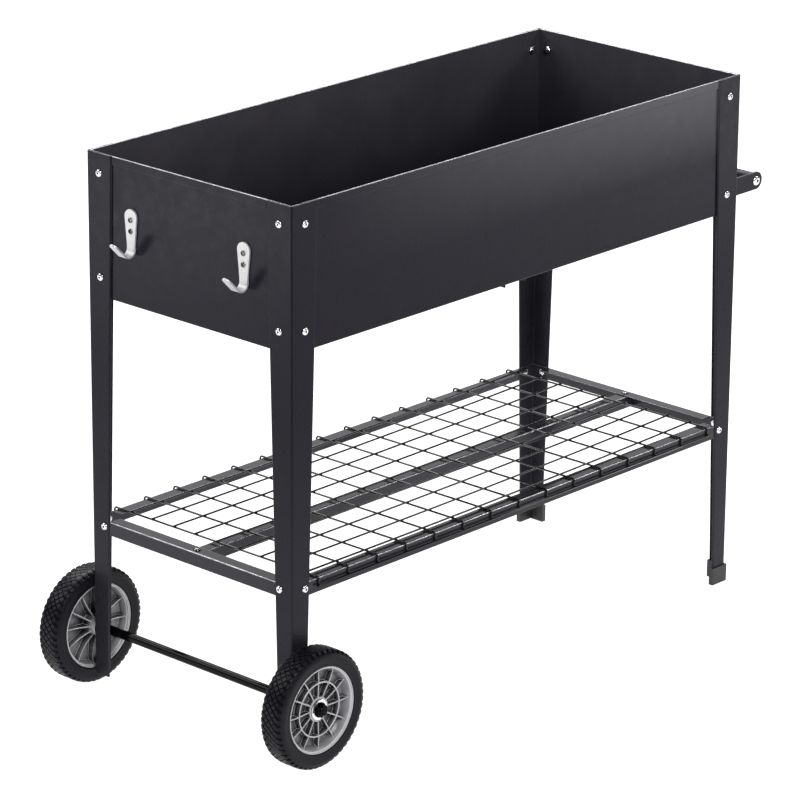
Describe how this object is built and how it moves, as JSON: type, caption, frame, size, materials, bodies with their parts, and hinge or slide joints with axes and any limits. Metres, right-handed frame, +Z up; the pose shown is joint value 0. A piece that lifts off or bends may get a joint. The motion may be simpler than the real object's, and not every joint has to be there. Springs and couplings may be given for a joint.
{
  "type": "raised planter on legs",
  "caption": "Rectangular sheet-metal planting tub on tapered legs with a lift-off wire shelf, tool hooks, a push handle and a wheeled end.",
  "frame": {"origin": "middle of the bounding box in X and Y, on the ground plane", "axes": "+X along the planter from the wheels to the push handle, +Y across it from the front to the back, +Z up"},
  "size_m": [1.0964, 0.4886, 0.8],
  "materials": {
    "black_coat": "satin, finely textured charcoal powder coat on steel sheet",
    "wire_coat": "satin black coat on welded steel wire",
    "gloss_black": "gloss black paint on steel rod",
    "bright_steel": "bright zinc-plated steel",
    "black_plastic": "moulded black plastic",
    "tyre_rubber": "matt black solid rubber",
    "grey_plastic": "moulded light grey plastic, slightly glossy"
  },
  "bodies": {
    "frame": {"axle": "gloss_black", "back_axle_cap": "gloss_black", "back_axle_washer": "bright_steel", "back_foot_cap": "black_plastic", "back_handle_bolt": "bright_steel", "back_handle_bracket": "black_coat", "back_hook": "bright_steel", "back_left_leg": "black_coat", "back_panel": "black_coat", "back_right_leg": "black_coat", "back_shelf_rail": "black_coat", "centre_shelf_rail": "black_coat", "floor_support_bar": "black_coat", "front_axle_cap": "gloss_black", "front_axle_washer": "bright_steel", "front_foot_cap": "black_plastic", "front_handle_bolt": "bright_steel", "front_handle_bracket": "black_coat", "front_hook": "bright_steel", "front_left_leg": "black_coat", "front_panel": "black_coat", "front_right_leg": "black_coat", "front_shelf_rail": "black_coat", "handle_bar": "black_coat", "left_end_panel": "black_coat", "left_floor_panel": "black_coat", "left_shelf_rail": "black_coat", "lower_back_bolt_left": "bright_steel", "lower_back_bolt_right": "bright_steel", "lower_end_bolt_back_left": "bright_steel", "lower_end_bolt_back_right": "bright_steel", "lower_end_bolt_front_left": "bright_steel", "lower_end_bolt_front_right": "bright_steel", "lower_front_bolt_left": "bright_steel", "lower_front_bolt_right": "bright_steel", "right_end_panel": "black_coat", "right_floor_panel": "black_coat", "right_shelf_rail": "black_coat", "shelf_back_bolt_left": "bright_steel", "shelf_back_bolt_right": "bright_steel", "shelf_end_bolt_back_left": "bright_steel", "shelf_end_bolt_back_right": "bright_steel", "shelf_end_bolt_front_left": "bright_steel", "shelf_end_bolt_front_right": "bright_steel", "shelf_front_bolt_left": "bright_steel", "shelf_front_bolt_right": "bright_steel", "top_back_bolt_left": "bright_steel", "top_back_bolt_right": "bright_steel", "top_end_bolt_back_left": "bright_steel", "top_end_bolt_back_right": "bright_steel", "top_end_bolt_front_left": "bright_steel", "top_end_bolt_front_right": "bright_steel", "top_front_bolt_left": "bright_steel", "top_front_bolt_right": "bright_steel"},
    "front_wheel": {"front_tyre": "tyre_rubber", "front_wheel_hub": "grey_plastic"},
    "back_wheel": {"back_tyre": "tyre_rubber", "back_wheel_hub": "grey_plastic"},
    "shelf": {"wire_shelf": "wire_coat"}
  },
  "joints": [
    {"name": "front_wheel_spin", "type": "hinge", "parent": "frame", "child": "front_wheel", "pos_m": [-0.46185, -0.222, 0.0863], "axis": [0, 1, 0], "continuous": true},
    {"name": "back_wheel_spin", "type": "hinge", "parent": "frame", "child": "back_wheel", "pos_m": [-0.46185, 0.222, 0.0863], "axis": [0, 1, 0], "continuous": true},
    {"name": "shelf_lift", "type": "slide", "parent": "frame", "child": "shelf", "axis": [0, 0, 1], "range_m": [0, 0.12]}
  ]
}
